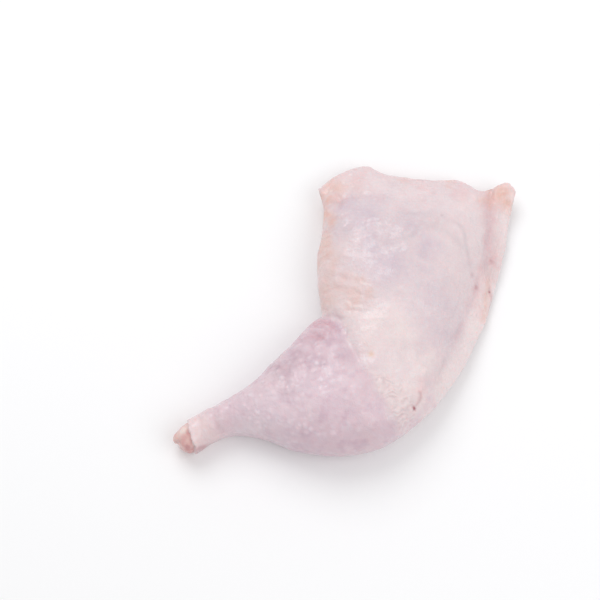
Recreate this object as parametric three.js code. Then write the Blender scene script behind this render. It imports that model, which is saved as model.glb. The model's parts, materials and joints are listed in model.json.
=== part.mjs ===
// A raw chicken leg in one piece: the thigh with its drumstick folded back beside it, lying skin side up.
// Millimetres, +Z up. +X runs from the hock to the outer side of the thigh, +Y from the knee to the hip.
// The origin is the middle of the footprint, at the level that the leg rests on.
import * as THREE from "three";

// Stations of the loft, from the hip's cut edge down the thigh, round the knee and along the drumstick.
// inner: a point of the inner outline. outer: its partner on the outer outline. Both are the widest points.
// crown: height of the section's highest line. drape: 1 where the outer side thins into loose skin, else 0.
// rows: how many rows of cells lead to the next station.
const STATIONS = [
  { inner: [-14.3, 68.5, 12], outer: [93.1, 67.8, 10], crown: 23, drape: 1, rows: 8 }, // hip edge
  { inner: [-11.2, 55, 13], outer: [90.4, 54.8, 7], crown: 29, drape: 1, rows: 5 }, // hip
  { inner: [-12.4, 41, 14.5], outer: [86.6, 37.1, 5], crown: 33, drape: 1, rows: 5 }, // upper thigh
  { inner: [-15.1, 26.5, 15], outer: [81.6, 18, 4], crown: 34.5, drape: 1, rows: 5 }, // thigh
  { inner: [-14.6, 11.4, 15], outer: [76.4, 0, 4], crown: 35, drape: 0.95, rows: 6 }, // lower thigh
  { inner: [-13.1, 0.1, 14.5], outer: [67.3, -19.6, 6], crown: 34, drape: 0.75, rows: 8 }, // over the notch
  { inner: [-12.6, -5.1, 14], outer: [55, -41, 9], crown: 33.5, drape: 0.4, rows: 8 }, // notch
  { inner: [-15.7, -8.2, 14.5], outer: [37.8, -61, 13], crown: 34.5, drape: 0.1, rows: 6 }, // knee
  { inner: [-24.1, -16.6, 15.5], outer: [16.4, -76, 15], crown: 36.5, drape: 0, rows: 4 }, // upper calf
  { inner: [-34.5, -26.9, 15.5], outer: [-5.6, -79.3, 15.5], crown: 36, drape: 0, rows: 4 }, // calf
  { inner: [-45.3, -38.2, 14], outer: [-25.2, -76.6, 14], crown: 32, drape: 0, rows: 4 }, // lower calf
  { inner: [-56.2, -47.1, 12], outer: [-43, -69.8, 12], crown: 26, drape: 0, rows: 4 }, // shin
  { inner: [-69, -53.6, 10.5], outer: [-57.6, -67.4, 10.5], crown: 21, drape: 0, rows: 4 }, // lower shin
  { inner: [-81.8, -60.4, 9.5], outer: [-69.8, -71.4, 9.5], crown: 19, drape: 0, rows: 9 }, // ankle
  { inner: [-93.4, -69.4, 10.5], outer: [-79.8, -80.4, 10.5], crown: 21, drape: 0, rows: 0 }, // hock
];

// The loose skin past the hip: how far its edge reaches beyond the straight line between the corners of
// the first station. across runs from -1 at the inner corner to 1 at the outer one.
const HIP_EDGE = [
  { across: -1, reach: 0, height: 12 },
  { across: -0.8, reach: 7.5, height: 11 },
  { across: -0.52, reach: 13.5, height: 11 },
  { across: -0.28, reach: 9, height: 10 },
  { across: 0.05, reach: 7, height: 9 },
  { across: 0.38, reach: 6.5, height: 8 },
  { across: 0.66, reach: 0.8, height: 7.5 },
  { across: 0.9, reach: 4, height: 11 },
  { across: 1, reach: 0, height: 10 },
];

const SKIN = 3.4; // thickness of the loose skin with its fat
const HIP_STEP = 14; // length of the first station
const HIP_REACH = 1.6; // stations over which the bulges of the hip edge die out
const HIP_RISE = 1.9; // stations until the thigh has its full height
const HIP_LIP = 0.25; // stations of skin that hang over the cut end of the thigh
const HIP_END = 0.9; // stations over which that cut end rounds down to the underside
const HOCK_ROUND = 0.7; // stations over which the end of the drumstick rounds off
const HOCK_TIP = 0.35; // share of the width that is left at the very tip
const HOCK_GROOVE = 1.6; // depth of the groove between the two knuckles
const RIDGE_SHIFT = 0.14; // how far the highest line of the thigh lies towards the inner side
const UNDERSIDE_POWER = 2.8; // how flat the underside is
const UNDERSIDE_SAG = 0.9; // how far the underside would sink in, which gives it its flat rest

// Valleys in the upper side: width, and the places and depths along each.
const FOLDS = [
  // The thigh's skin folds over the drumstick, from the notch towards the knee.
  {
    width: 5,
    line: [
      [-18, -5, 2.6],
      [-11, -8, 3.6],
      [-5, -12.5, 3.8],
      [-2, -21, 3.4],
      [3, -32, 2.6],
      [15, -56, 1],
      [23, -68, 0],
    ],
  },
  // The skin turns down into the loose flank along the outer side of the thigh.
  {
    width: 4.5,
    line: [
      [77, 76, 0.6],
      [76.5, 50, 2.2],
      [74, 28, 2],
      [69, 13, 1.8],
      [59, -12, 0.9],
      [50, -28, 0.3],
      [41, -45, 0],
    ],
  },
  // A slack fold behind the hip edge.
  { width: 4.5, line: [[40, 43, 0], [24, 50, 1.2], [8, 58, 1.6], [-6, 57, 1.4], [-12, 54, 0]] },
];

// Soft lumps of fat and muscle on the upper side: place, radius and height.
const LUMPS = [
  { x: 87, y: 65, radius: 8, height: 5 }, // fat at the outer corner
  { x: -7, y: 50, radius: 7, height: 2 }, // fat at the inner corner
  { x: 32, y: 26, radius: 22, height: 1.2 }, // big muscle of the thigh
  { x: 17, y: -18, radius: 13, height: 1.6 }, // thigh above the fold
  { x: 2, y: -50, radius: 14, height: 1.2 }, // calf muscle
];

const KNEE_PIT = { x: 3, y: -23, radius: 15, depth: 3.5 }; // the hollow behind the knee, on the underside

const ACROSS = 35; // cells across each side of the loft

const clamp01 = (x) => Math.min(1, Math.max(0, x));
const mix = THREE.MathUtils.lerp;
const smooth = (x) => THREE.MathUtils.smoothstep(x, 0, 1);
const roundOff = (x) => Math.sqrt(1 - (1 - clamp01(x)) ** 2);
const bell = (x) => Math.exp(-(x ** 2));

// A smooth curve through points of three values each.
const through = (points) => new THREE.CatmullRomCurve3(points.map((p) => new THREE.Vector3(...p)));

const LAST = STATIONS.length - 1;
const innerLine = through(STATIONS.map((s) => s.inner));
const outerLine = through(STATIONS.map((s) => s.outer));
const heights = through(STATIONS.map((s) => [s.crown, s.drape, 0]));
const hipLine = through(HIP_EDGE.map((p) => [p.across, p.reach, p.height]));
const foldLines = FOLDS.map((fold) => ({ ...fold, points: through(fold.line).getPoints(24) }));

// Depth of one fold at a place: deepest on its line, and gone a few widths away.
function foldDepth({ points, width }, x, y) {
  let nearest = { distance: Infinity, depth: 0 };
  for (let i = 0; i + 1 < points.length; i++) {
    const [from, to] = [points[i], points[i + 1]];
    const [dx, dy] = [to.x - from.x, to.y - from.y];
    const share = clamp01(((x - from.x) * dx + (y - from.y) * dy) / (dx ** 2 + dy ** 2));
    const distance = Math.hypot(x - from.x - share * dx, y - from.y - share * dy);
    if (distance < nearest.distance) nearest = { distance, depth: mix(from.z, to.z, share) };
  }
  return nearest.depth * bell(nearest.distance / width);
}

// Reach and height of the hip edge at a place across the leg, found by halving, as the curve is a free one.
function hipEdgeAt(across) {
  let low = 0;
  let high = 1;
  for (let i = 0; i < 30; i++) {
    const middle = (low + high) / 2;
    if (hipLine.getPoint(middle).x < across) low = middle;
    else high = middle;
  }
  const found = hipLine.getPoint(low);
  return { reach: found.y, height: found.z };
}

// Height of the upper side over the outline, from 0 there to 1 at the crown.
function domeAt(across, drape) {
  const ridge = -RIDGE_SHIFT * drape;
  if (across < ridge) return Math.sqrt(1 - ((ridge - across) / (1 + ridge)) ** 2.4);
  const out = (across - ridge) / (1 - ridge);
  const round = Math.sqrt(1 - out ** 2.1);
  const draped = (1 - out ** 2.7) ** 1.5;
  return mix(round, draped, drape);
}

// The two points, above and below, at a place across (-1 to 1) and along (0 to 1) the leg.
function sectionAt(across, along) {
  const station = along * LAST;
  const inner = innerLine.getPoint(along);
  const outer = outerLine.getPoint(along);
  const middle = inner.clone().lerp(outer, 0.5);
  const { x: crown, y: looseness } = heights.getPoint(along);
  const drape = clamp01(looseness);
  const hockEnd = roundOff((LAST - station) / HOCK_ROUND);

  // Place in plan.
  const place = inner.clone().lerp(outer, (across + 1) / 2);
  place.lerpVectors(middle, place, mix(HOCK_TIP, 1, hockEnd));
  const hip = hipEdgeAt(across);
  place.y += hip.reach * (1 - smooth(station / HIP_REACH));

  // The plain section: a dome over the outline and a flat-bottomed bowl under it.
  const edge = across < -RIDGE_SHIFT * drape ? inner.z : outer.z;
  const fromOuter = (inner.distanceTo(outer) / 2) * (1 - across);
  const rim = across > 0 ? (SKIN / 2) * drape * roundOff(fromOuter / (SKIN / 2)) : 0;
  const dome = domeAt(across, drape);
  const bowl = (1 - Math.abs(across) ** UNDERSIDE_POWER) ** (1 / UNDERSIDE_POWER);
  let top = mix(edge + rim, crown, dome);
  let bottom = mix(edge - rim, -UNDERSIDE_SAG, bowl);

  // Relief: folds and lumps above, the hollow of the knee below, and a groove between the hock's knuckles.
  for (const fold of foldLines) top -= foldDepth(fold, place.x, place.y) * dome;
  for (const lump of LUMPS) {
    top += lump.height * dome * bell(Math.hypot(place.x - lump.x, place.y - lump.y) / lump.radius);
  }
  top -= HOCK_GROOVE * smooth(station - LAST + 1) * bell(across / 0.4);
  const fromPit = Math.hypot(place.x - KNEE_PIT.x, place.y - KNEE_PIT.y) / KNEE_PIT.radius;
  bottom += KNEE_PIT.depth * bowl * bell(fromPit);

  // The loose skin at the hip: the meat rises out of it above and rounds down to the rest below.
  const hipRim = (SKIN / 2) * roundOff((station * HIP_STEP) / (SKIN / 2));
  top = mix(hip.height + hipRim, top, Math.sin((Math.PI / 2) * clamp01(station / HIP_RISE)));
  bottom = mix(hip.height - hipRim, bottom, roundOff((station - HIP_LIP) / HIP_END));

  // The rounded end at the hock.
  top = mix(middle.z, top, hockEnd);
  bottom = mix(middle.z, bottom, hockEnd);
  return {
    top: new THREE.Vector3(place.x, place.y, top),
    bottom: new THREE.Vector3(place.x, place.y, Math.max(0, bottom)),
  };
}

// The closed skin of the leg: an upper and a lower sheet that share their rim.
function legGeometry() {
  const positions = [];
  const upper = [];
  const lower = [];
  const rows = [];
  for (const [k, station] of STATIONS.entries()) {
    for (let j = 0; j < station.rows; j++) rows.push(k + j / station.rows);
  }
  rows.push(LAST);
  for (const [j, row] of rows.entries()) {
    upper.push([]);
    lower.push([]);
    for (let i = 0; i <= ACROSS; i++) {
      const across = Math.sin(Math.PI * (i / ACROSS - 0.5));
      const { top, bottom } = sectionAt(across, row / LAST);
      const onRim = i === 0 || i === ACROSS || row === 0 || row === LAST;
      if (onRim) top.z = (top.z + bottom.z) / 2;
      upper[j].push(positions.length / 3);
      positions.push(...top.toArray());
      lower[j].push(onRim ? upper[j][i] : positions.length / 3);
      if (!onRim) positions.push(...bottom.toArray());
    }
  }
  const index = [];
  const cell = (a, b, c, d) => index.push(a, b, c, a, c, d);
  for (let j = 0; j + 1 < rows.length; j++) {
    for (let i = 0; i < ACROSS; i++) {
      cell(upper[j][i], upper[j + 1][i], upper[j + 1][i + 1], upper[j][i + 1]);
      cell(lower[j][i], lower[j][i + 1], lower[j + 1][i + 1], lower[j + 1][i]);
    }
  }
  const geometry = new THREE.BufferGeometry();
  geometry.setAttribute("position", new THREE.Float32BufferAttribute(positions, 3));
  geometry.setIndex(index);
  geometry.computeBoundingBox();
  const { min, max } = geometry.boundingBox;
  geometry.translate(-(min.x + max.x) / 2, -(min.y + max.y) / 2, -min.z);
  geometry.computeVertexNormals();
  return geometry;
}

const leg = new THREE.Mesh(
  legGeometry(),
  new THREE.MeshStandardMaterial({ color: "#e3cfd0", roughness: 0.42, metalness: 0 }),
);
leg.name = "chicken_leg";

const part = new THREE.Group();
part.add(leg);
export default part;
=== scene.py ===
# %% [markdown]
# # A raw chicken leg, skin side up
#
# The real object is the whole leg of a bird in one piece: a thigh, and a drumstick folded back beside it at
# the knee. Loose, moist skin covers it, thin enough for the darker meat to show through. The leg's form and
# size come from the packed frame, so the first cell loads it.

# %% Load the frame
import json
import math
import random

import bmesh
import bpy
import numpy as np
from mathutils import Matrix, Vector, kdtree, noise

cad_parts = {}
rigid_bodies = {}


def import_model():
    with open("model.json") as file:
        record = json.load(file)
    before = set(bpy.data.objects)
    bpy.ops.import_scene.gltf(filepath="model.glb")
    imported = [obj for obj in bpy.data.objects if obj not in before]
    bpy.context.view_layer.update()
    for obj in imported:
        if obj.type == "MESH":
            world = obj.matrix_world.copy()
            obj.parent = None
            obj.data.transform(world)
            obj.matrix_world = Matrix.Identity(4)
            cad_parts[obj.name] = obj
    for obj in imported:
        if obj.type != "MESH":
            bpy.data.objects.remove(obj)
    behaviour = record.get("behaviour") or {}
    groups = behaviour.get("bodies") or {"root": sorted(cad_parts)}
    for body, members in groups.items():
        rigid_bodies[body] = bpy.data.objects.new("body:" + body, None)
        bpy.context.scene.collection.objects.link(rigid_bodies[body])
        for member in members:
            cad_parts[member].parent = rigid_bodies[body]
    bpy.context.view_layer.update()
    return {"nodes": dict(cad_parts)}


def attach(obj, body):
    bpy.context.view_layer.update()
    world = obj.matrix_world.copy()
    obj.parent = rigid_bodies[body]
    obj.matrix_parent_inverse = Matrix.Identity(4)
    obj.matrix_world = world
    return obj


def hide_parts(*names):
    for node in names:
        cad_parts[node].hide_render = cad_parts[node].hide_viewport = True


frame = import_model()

MM = 0.001  # Blender works in metres, and this script's sizes are in millimetres


# %% [markdown]
# ## A fine skin over the faceted form
#
# The frame's solid has the true form, but its faces are wide enough to show. A subdivision surface would
# keep their uneven pattern. A voxel remesh gives even cells of one size instead, fine enough to carry
# wrinkles and follicles. Its steps and the old facets are then relaxed away. Plain averaging would shrink
# the thin edges, so after each step towards the neighbours' mean comes one back that is slightly larger.
# Small bumps still vanish that way, and the broad form stays.

# %% Helpers that read and write meshes
def read_rows(items, attribute, width, kind=np.float32):
    """One row of numbers for each item of a mesh."""
    flat = np.empty(len(items) * width, kind)
    items.foreach_get(attribute, flat)
    return flat.reshape(-1, width)


def read_points(mesh):
    return read_rows(mesh.vertices, "co", 3).astype(float) / MM


def read_normals(mesh):
    return read_rows(mesh.vertex_normals, "vector", 3).astype(float)


def read_edges(mesh):
    return read_rows(mesh.edges, "vertices", 2, np.int32)


def write_points(mesh, points):
    mesh.vertices.foreach_set("co", (points * MM).astype(np.float32).ravel())
    mesh.update()


solid = frame["nodes"]["chicken_leg"]
edge_ends = read_points(solid.data)[read_edges(solid.data)]
edge_lengths = np.linalg.norm(edge_ends[:, 0] - edge_ends[:, 1], axis=1)
print("most edges of the solid, mm:", np.percentile(edge_lengths, (10, 90)).round(1))

# %% Helpers that relax a mesh
PULL = 0.5  # share of the way to the neighbours' mean
PUSH = -0.52  # and back out again


def neighbour_mean(values, edges):
    """The mean of each vertex's neighbours."""
    a, b = edges[:, 0], edges[:, 1]
    count = len(values)
    sums = [np.bincount(a, column[b], count) + np.bincount(b, column[a], count) for column in values.T]
    return np.stack(sums, axis=1) / np.bincount(edges.ravel(), minlength=count)[:, None]


def relax(values, edges, passes):
    """Smooths values over the mesh without shrinking it: a pull to the mean, then a push back."""
    for _ in range(passes):
        for amount in (PULL, PUSH):
            values = values + amount * (neighbour_mean(values, edges) - values)
    return values


print("one pass: pull", PULL, "and push", PUSH)

# %% Remesh the leg's form
CELL = 0.62  # width of the fine mesh's cells
FORM_PASSES = 30
WELD = 0.001  # corners this close become one


def add_object(name, mesh):
    made = bpy.data.objects.new(name, mesh)
    bpy.context.scene.collection.objects.link(made)
    return made


def voxel_copy(source, name, cell):
    """A copy of a closed mesh, made of even square cells."""
    welded = bmesh.new()
    welded.from_mesh(source.data)
    bmesh.ops.remove_doubles(welded, verts=welded.verts, dist=WELD * MM)
    rough = bpy.data.meshes.new(name + "_rough")
    welded.to_mesh(rough)
    welded.free()
    holder = add_object(name + "_rough", rough)
    remesh = holder.modifiers.new("even_cells", "REMESH")
    remesh.mode = "VOXEL"
    remesh.voxel_size = cell * MM
    remesh.adaptivity = 0
    depsgraph = bpy.context.evaluated_depsgraph_get()
    even = bpy.data.meshes.new_from_object(holder.evaluated_get(depsgraph))
    even.name = name
    bpy.data.objects.remove(holder)
    bpy.data.meshes.remove(rough)
    return add_object(name, even)


leg = voxel_copy(solid, "leg_skin", CELL)
edges = read_edges(leg.data)
form = relax(read_points(leg.data), edges, FORM_PASSES)
write_points(leg.data, form)
form_normals = read_normals(leg.data)
print("fine mesh:", len(form), "vertices,", len(leg.data.polygons), "faces")
print("form, mm:", form.min(0).round(1), form.max(0).round(1))

# %% [markdown]
# ## Where is what?
#
# Thigh, drumstick, loose flank, bare meat and the end of the hock each get their own relief and colour.
# They could be painted by hand, but a rule by place is easier to correct. Each region is a mask: one number
# from 0 to 1 for every vertex. A border that is drawn as a line through a few places on the leg is blurred
# and broken up with noise, because nothing on a leg has a ruled edge.

# %% Helpers for masks
X, Y, Z = form.T
facing_up = form_normals[:, 2]


def smooth(low, high, values):
    """0 below low, 1 above high and an even ramp between. low may be the larger one."""
    t = np.clip((values - low) / (high - low), 0, 1)
    return t * t * (3 - 2 * t)


def bell(values):
    return np.exp(-(values**2))


def strongest(*masks):
    return np.maximum.reduce(masks)


def soft_noise(scale, seed, points=form, octaves=1):
    """Smooth noise between about -1 and 1, with lumps about scale millimetres across."""
    shifted = (points / scale + seed * 17.3).tolist()
    if octaves == 1:
        return np.array([noise.noise(p) for p in shifted]) * 1.6
    return np.array([noise.fractal(p, 1.0, 2.0, octaves) for p in shifted]) * 1.2


def print_shares(**named):
    """Prints how much of the leg's surface each mask covers."""
    print(", ".join("%s %.1f%%" % (name, 100 * np.mean(mask)) for name, mask in named.items()))


upper = smooth(-0.15, 0.35, facing_up)
print_shares(upper=upper)


# %% Helpers for lines on the plan
def curve_through(points, steps=8):
    """A smooth curve through given points, as many short pieces (Catmull-Rom)."""
    p = np.array(points, float)
    p = np.vstack([2 * p[0] - p[1], p, 2 * p[-1] - p[-2]])
    out = []
    for i in range(1, len(p) - 2):
        for t in np.arange(steps) / steps:
            a, b, c, d = p[i - 1 : i + 3]
            even = 2 * b + (c - a) * t
            out.append(0.5 * (even + (2 * a - 5 * b + 4 * c - d) * t**2 + (3 * b - a - 3 * c + d) * t**3))
    out.append(p[-2])
    return np.array(out)


def beside(line, x=X, y=Y):
    """For each place: its signed distance from a line drawn on the plan, and the share of the line passed.
    Left of the line as it runs is positive."""
    nearest = np.full(len(x), np.inf)
    signed = np.zeros(len(x))
    passed = np.zeros(len(x))
    for i in range(len(line) - 1):
        (ax, ay), (bx, by) = line[i][:2], line[i + 1][:2]
        dx, dy = bx - ax, by - ay
        along = np.clip(((x - ax) * dx + (y - ay) * dy) / (dx * dx + dy * dy), 0, 1)
        off_x, off_y = x - ax - along * dx, y - ay - along * dy
        distance = np.hypot(off_x, off_y)
        closer = distance < nearest
        nearest[closer] = distance[closer]
        signed[closer] = (distance * np.sign(dx * off_y - dy * off_x))[closer]
        passed[closer] = ((i + along) / (len(line) - 1))[closer]
    return signed, passed


print("a curve through 3 places has", len(curve_through([(0, 0), (1, 1), (2, 0)])), "points")

# %% Split the thigh from the drumstick
# The border follows the fold at the knee. It is sharpest there, softer where the fold runs out at the lower
# edge, and wide on the underside.
KNEE_FOLD = [
    (-40, 12), (-17, -6.5), (-10, -9.2), (-5.6, -11.4), (-3.4, -16), (-1.6, -23), (1.8, -30.5),
    (5.6, -37.5), (9.5, -45), (13.5, -53), (18, -61), (24, -69), (31, -80),
]
fold_side, _ = beside(curve_through(KNEE_FOLD))
border_noise = soft_noise(7, 1) * 1.6 + soft_noise(2.5, 2) * 0.6
facing_floor = smooth(0.1, -0.5, facing_up)
border_blur = 2.2 + 2.0 * smooth(-38, -54, Y) + 8.0 * facing_floor
thigh = smooth(-border_blur, border_blur, fold_side + border_noise * (1 + 2 * facing_floor))
print_shares(thigh=thigh, drumstick=1 - thigh)

# %% Measure along the drumstick
# Its own axis, from the knee to the tip of the hock, gives places along it and round it.
DRUM_AXIS = [(22, -44), (-6, -47), (-22, -55), (-37, -59), (-51, -60), (-65, -62), (-77, -67.5), (-90, -77)]
drum_line = curve_through(DRUM_AXIS)
drum_aside, drum_along = beside(drum_line)
drum_length = np.linalg.norm(np.diff(drum_line, axis=0), axis=1).sum()
from_tip = (1 - drum_along) * drum_length
print("drumstick axis:", round(drum_length, 1), "mm")

# %% Find the loose skin of the flank and the hip
# The flank is the strip outside the fold that runs down the thigh's outer side.
FLANK_FOLD = [
    (77, 90), (77, 67), (76.6, 50), (76, 38), (73.5, 27), (70, 15), (66.5, 4), (61.5, -8), (56.5, -18),
    (50.5, -28), (46, -37), (41.5, -45.5), (36, -52),
]
flank_side, _ = beside(curve_through(FLANK_FOLD))
flank = smooth(-1.5, 2.5, flank_side + border_noise) * thigh

# At the hip the skin ends in a free edge. Each narrow strip of the plan gives the place of the edge there.
HIP_STRIP = 2.0
strips = np.floor(X / HIP_STRIP).astype(int)
strips -= strips.min()
hip_edge = np.full(strips.max() + 1, -np.inf)
np.maximum.at(hip_edge, strips, Y)
inside_hip = hip_edge[strips] - Y
print_shares(flank=flank, hip=inside_hip < 10)

# %% Find the bare meat and the joint
# The skin doesn't reach the middle of the thigh's inner side, which is cut free from the body.
BARE_WINDOW = [
    (0, 100), (-3, 55), (-5, 34), (-4, 12), (6, -4), (24, -12), (44, -9), (58, 6), (66, 26), (71, 44),
    (73, 62), (70, 100),
]
LIP = 3.3  # how far the skin reaches in from the hip's edge
window_side, _ = beside(curve_through(BARE_WINDOW))
under = strongest(
    smooth(0.15, 0.5, -facing_up),
    smooth(0.35, 0.6, form_normals[:, 1]) * smooth(8.5, 7.0, Z),
)
in_window = window_side + border_noise * 1.4 - 2
from_lip = inside_hip + border_noise * 0.5
bare = smooth(-0.5, 0.5, in_window) * smooth(0.35, 0.65, under) * smooth(LIP - 0.5, LIP + 0.5, from_lip)
bare *= smooth(-30, -26, Y)

# The skin is also cut off in a ring above the drumstick's tip.
RING = 11  # from the tip
from_cut = from_tip - RING + soft_noise(3.5, 3) * 0.9 + drum_aside * 0.4
hock_end = smooth(-50, -60, X)
joint = smooth(0.5, -0.5, from_cut) * hock_end
print_shares(bare=bare, joint=joint)

# %% [markdown]
# ## Folds and wrinkles
#
# Skin that has to bend gathers in folds: deep ones at the knee, slack ones at the hip and along the flank.
# A cloth simulation would give folds, but not these ones. So each fold is a line on the plan with a depth
# and a width. Its section is a narrow valley with a soft lip on both sides, and it fades out at both ends.

# %% Cut the folds
FOLDS = [
    # depth, width, places
    (0.7, 1.3, [(-19, -6.5), (-13, -8.6), (-7, -10.2), (-3.5, -14)]),
    (0.2, 1.3, [(-5, -12), (-3, -17), (-1, -25), (3, -33), (9, -45), (15, -56)]),
    (0.8, 1.2, [(-18, -12), (-13, -12.6), (-9, -14.5), (-7, -18)]),
    (0.7, 1.1, [(-20, -15), (-14, -16.5), (-10, -20), (-7.5, -26)]),
    (0.6, 1.1, [(-23, -18), (-17, -21), (-12, -27)]),
    (0.5, 1.0, [(-27, -22), (-21, -26), (-18, -31)]),
    (0.22, 1.0, [(-3, -3), (3, -5), (10, -5.5)]),
    (0.2, 1.0, [(-4, -7), (2, -9), (9, -10)]),
    (1.1, 2.5, [(77, 76), (76.8, 60), (76.6, 48), (76.2, 38), (74, 26), (70, 16)]),
    (0.6, 1.8, [(71, 19), (66, 6), (61, -7), (56, -17), (50, -27)]),
    (0.2, 1.5, [(53, -22), (47, -34), (43.5, -41), (38, -48), (34, -53)]),
    (0.3, 1.2, [(70, 34), (66, 24), (62, 16)]),
    (0.5, 2.2, [(-12, 56), (-4, 57), (6, 59), (16, 56), (26, 50), (38, 45)]),
    (0.6, 1.5, [(-9, 66), (-5, 60), (-4, 52), (-7, 44)]),
    (0.45, 1.3, [(-13, 47), (-6, 45), (0, 47)]),
    (0.4, 1.4, [(48, 66), (44, 58), (36, 52)]),
    (0.5, 1.5, [(79, 72), (78, 64), (80, 56)]),
    (0.3, 1.2, [(-12, 12), (-5, 11), (2, 8), (9, 7)]),
    (0.25, 1.2, [(-11, 6), (-3, 4), (5, 0), (11, -3)]),
    (0.45, 1.6, [(-68, -50), (-70, -58), (-68, -66), (-62, -72)]),
    (0.6, 0.9, [(-80, -78), (-76, -76), (-72, -74.2), (-68, -72.4)]),
    (0.35, 1.4, [(-76, -54), (-77, -62), (-75, -70)]),
]
LIP_HEIGHT = 0.15  # of the soft lips beside a fold, as a share of its depth
LIP_PLACE = 2.2  # from the fold's line, in its widths
LIP_WIDTH = 1.1

fold_relief = np.zeros(len(form))
fold_tint = np.zeros(len(form))
for number, (depth, width, places) in enumerate(FOLDS):
    side, passed = beside(curve_through(places))
    wander = soft_noise(6, 20 + number) * 0.5 * width
    across = np.abs(side + wander) / width
    fade = smooth(0, 0.25, passed) * smooth(1, 0.75, passed)
    fade *= 0.75 + 0.45 * soft_noise(9, 50 + number)
    fold_relief += depth * fade * (LIP_HEIGHT * bell((across - LIP_PLACE) / LIP_WIDTH) - bell(across))
    # The tint along each fold's line is painted shade in its valley.
    fold_tint = strongest(fold_tint, fade * bell(across / 1.2) * min(1, depth))
fold_relief *= upper
fold_tint *= upper
print("folds:", len(FOLDS), "deepest", round(float(fold_relief.min()), 2), "mm")

# %% [markdown]
# ## Uneven flesh
#
# Under the skin lie muscles and pads of fat, so no stretch of it is evenly curved. Three sizes of noise do
# that: broad swells, thumb-wide dimples, and a fine crepe where the skin is slack. Where it is pulled or
# pushed together, it also has small wrinkles in one direction: ridges of a noise stretched that way.

# %% Raise swells, dimples and crepe
slack = strongest(
    bell(fold_side / 16) * thigh * smooth(-20, -45, Y),
    flank * 0.8,
    smooth(16, 4, inside_hip) * 0.7,
    bell(np.hypot(X + 8, Y + 14) / 14),
)
swells = soft_noise(26, 5) * 0.7 + soft_noise(11, 6) * 0.35
dimples = soft_noise(4.5, 7, octaves=2) * 0.16 * (0.4 + 0.2 * thigh + slack)
crepe = (1 - 2 * np.abs(soft_noise(2.1, 8))) * 0.11 * slack
for name, relief in (("swells", swells), ("dimples", dimples), ("crepe", crepe)):
    print(name, "reach", round(float(np.abs(relief).max()), 2), "mm")


# %% Add wrinkles with a direction
def wrinkles(along_x, along_y, seed):
    """Ridges that run longest where the stretch is greatest."""
    bend = soft_noise(16, seed) * 3
    stretched = np.stack([(X + bend) / along_x, (Y + bend) / along_y, Z / 9], axis=1)
    ridge = 1 - np.abs(soft_noise(1.0, seed + 1, points=stretched)) * 2.2
    return np.maximum(ridge, 0)


# Across the inner thigh, along the flank, curled near the hip, and on the drumstick beside the knee.
cross_zone = thigh * upper * smooth(34, 10, X) * smooth(-30, 5, Y) * smooth(52, 36, Y)
long_zone = thigh * upper * smooth(-14, -2, flank_side)
curl_zone = thigh * upper * smooth(20, 40, Y) * smooth(56, 40, X)
drum_zone = (1 - thigh) * upper * bell(np.hypot(X + 12, Y + 18) / 13)
lines = wrinkles(16, 3.2, 60) * cross_zone * 0.14 + wrinkles(3.1, 17, 62) * long_zone * 0.24
lines += wrinkles(5, 4, 64) * curl_zone * 0.16 + wrinkles(3.2, 3.0, 66) * drum_zone * 0.3
print("wrinkles reach", round(float(lines.max()), 2), "mm")

# %% [markdown]
# ## Follicles
#
# Each feather grew from a follicle, and the plucked skin keeps their pattern. On the drumstick they stand
# in slanting rows, so their places come from a triangular lattice wrapped round its axis, with every place
# moved a little. On the thigh they are sparser and less even: there, vertices are drawn at random and each
# is kept only if no follicle stands near it yet. Beside the knee they crowd together and the skin between
# them is pinched into short rows, which a wave broken up by noise gives. A search tree tells every vertex
# its nearest follicle.

# %% Place the drumstick's follicles
DRUM_PITCH = 3.8  # from one follicle to the next in a row
ROW_STEP = 0.87  # from row to row, as a share of the pitch
JITTER = 0.2  # how far a follicle stands off its place, as a share of the pitch
GROWN = 0.88  # share of the lattice's places that have a follicle
DRUM_SHARES = [0, 0.35, 0.75, 1]  # places along the axis, with the thickness and radius there
DRUM_THICKNESSES = [34, 36, 21, 21]
DRUM_RADII = [21, 20, 11, 11]


def tree_of(points):
    tree = kdtree.KDTree(len(points))
    for i, p in enumerate(points):
        tree.insert(p, i)
    tree.balance()
    return tree


rng = random.Random(7)
axis_height = 0.5 * np.interp(drum_along, DRUM_SHARES, DRUM_THICKNESSES)
radius = np.interp(drum_along, DRUM_SHARES, DRUM_RADII)
turn = np.arctan2(drum_aside, Z - axis_height)
unrolled = np.stack([drum_along * drum_length, turn * radius, np.zeros(len(X))], axis=1)
on_drum = np.flatnonzero((thigh < 0.6) & (joint < 0.2))
drum_tree = tree_of(unrolled[on_drum])
drum_centres = []
rows = int(drum_length / (DRUM_PITCH * ROW_STEP))
columns = int(math.pi * radius.max() / DRUM_PITCH)
for row in range(rows):
    for column in range(-columns, columns + 1):
        along = (row + rng.gauss(0, JITTER)) * DRUM_PITCH * ROW_STEP
        around = (column + 0.5 * (row % 2) + rng.gauss(0, JITTER)) * DRUM_PITCH
        _, index, gap = drum_tree.find((along, around, 0))
        if gap < 1.0 and rng.random() < GROWN:
            drum_centres.append(form[on_drum[index]])
print("follicles on the drumstick:", len(drum_centres))

# %% Place the thigh's follicles
THIGH_PITCH = 3.1  # the least distance between two
CREPE_PITCH = 2.7
CREPE_LINE = [(16, -49), (19.5, -53), (23.5, -58), (27, -63)]
ROUND_ABOUT = [(a, b, c) for a in (-1, 0, 1) for b in (-1, 0, 1) for c in (-1, 0, 1)]


def scattered(candidates, pitch, seed):
    """Vertices drawn at random, each at least pitch from the ones kept before it."""
    order = list(candidates)
    random.Random(seed).shuffle(order)
    kept = {}
    for i in order:
        p = form[i]
        home = tuple((p // pitch).astype(int))
        near = (kept.get((home[0] + a, home[1] + b, home[2] + c)) for a, b, c in ROUND_ABOUT)
        if all(q is None or np.sum((p - q) ** 2) > pitch * pitch for q in near):
            kept[home] = p
    return list(kept.values())


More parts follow.
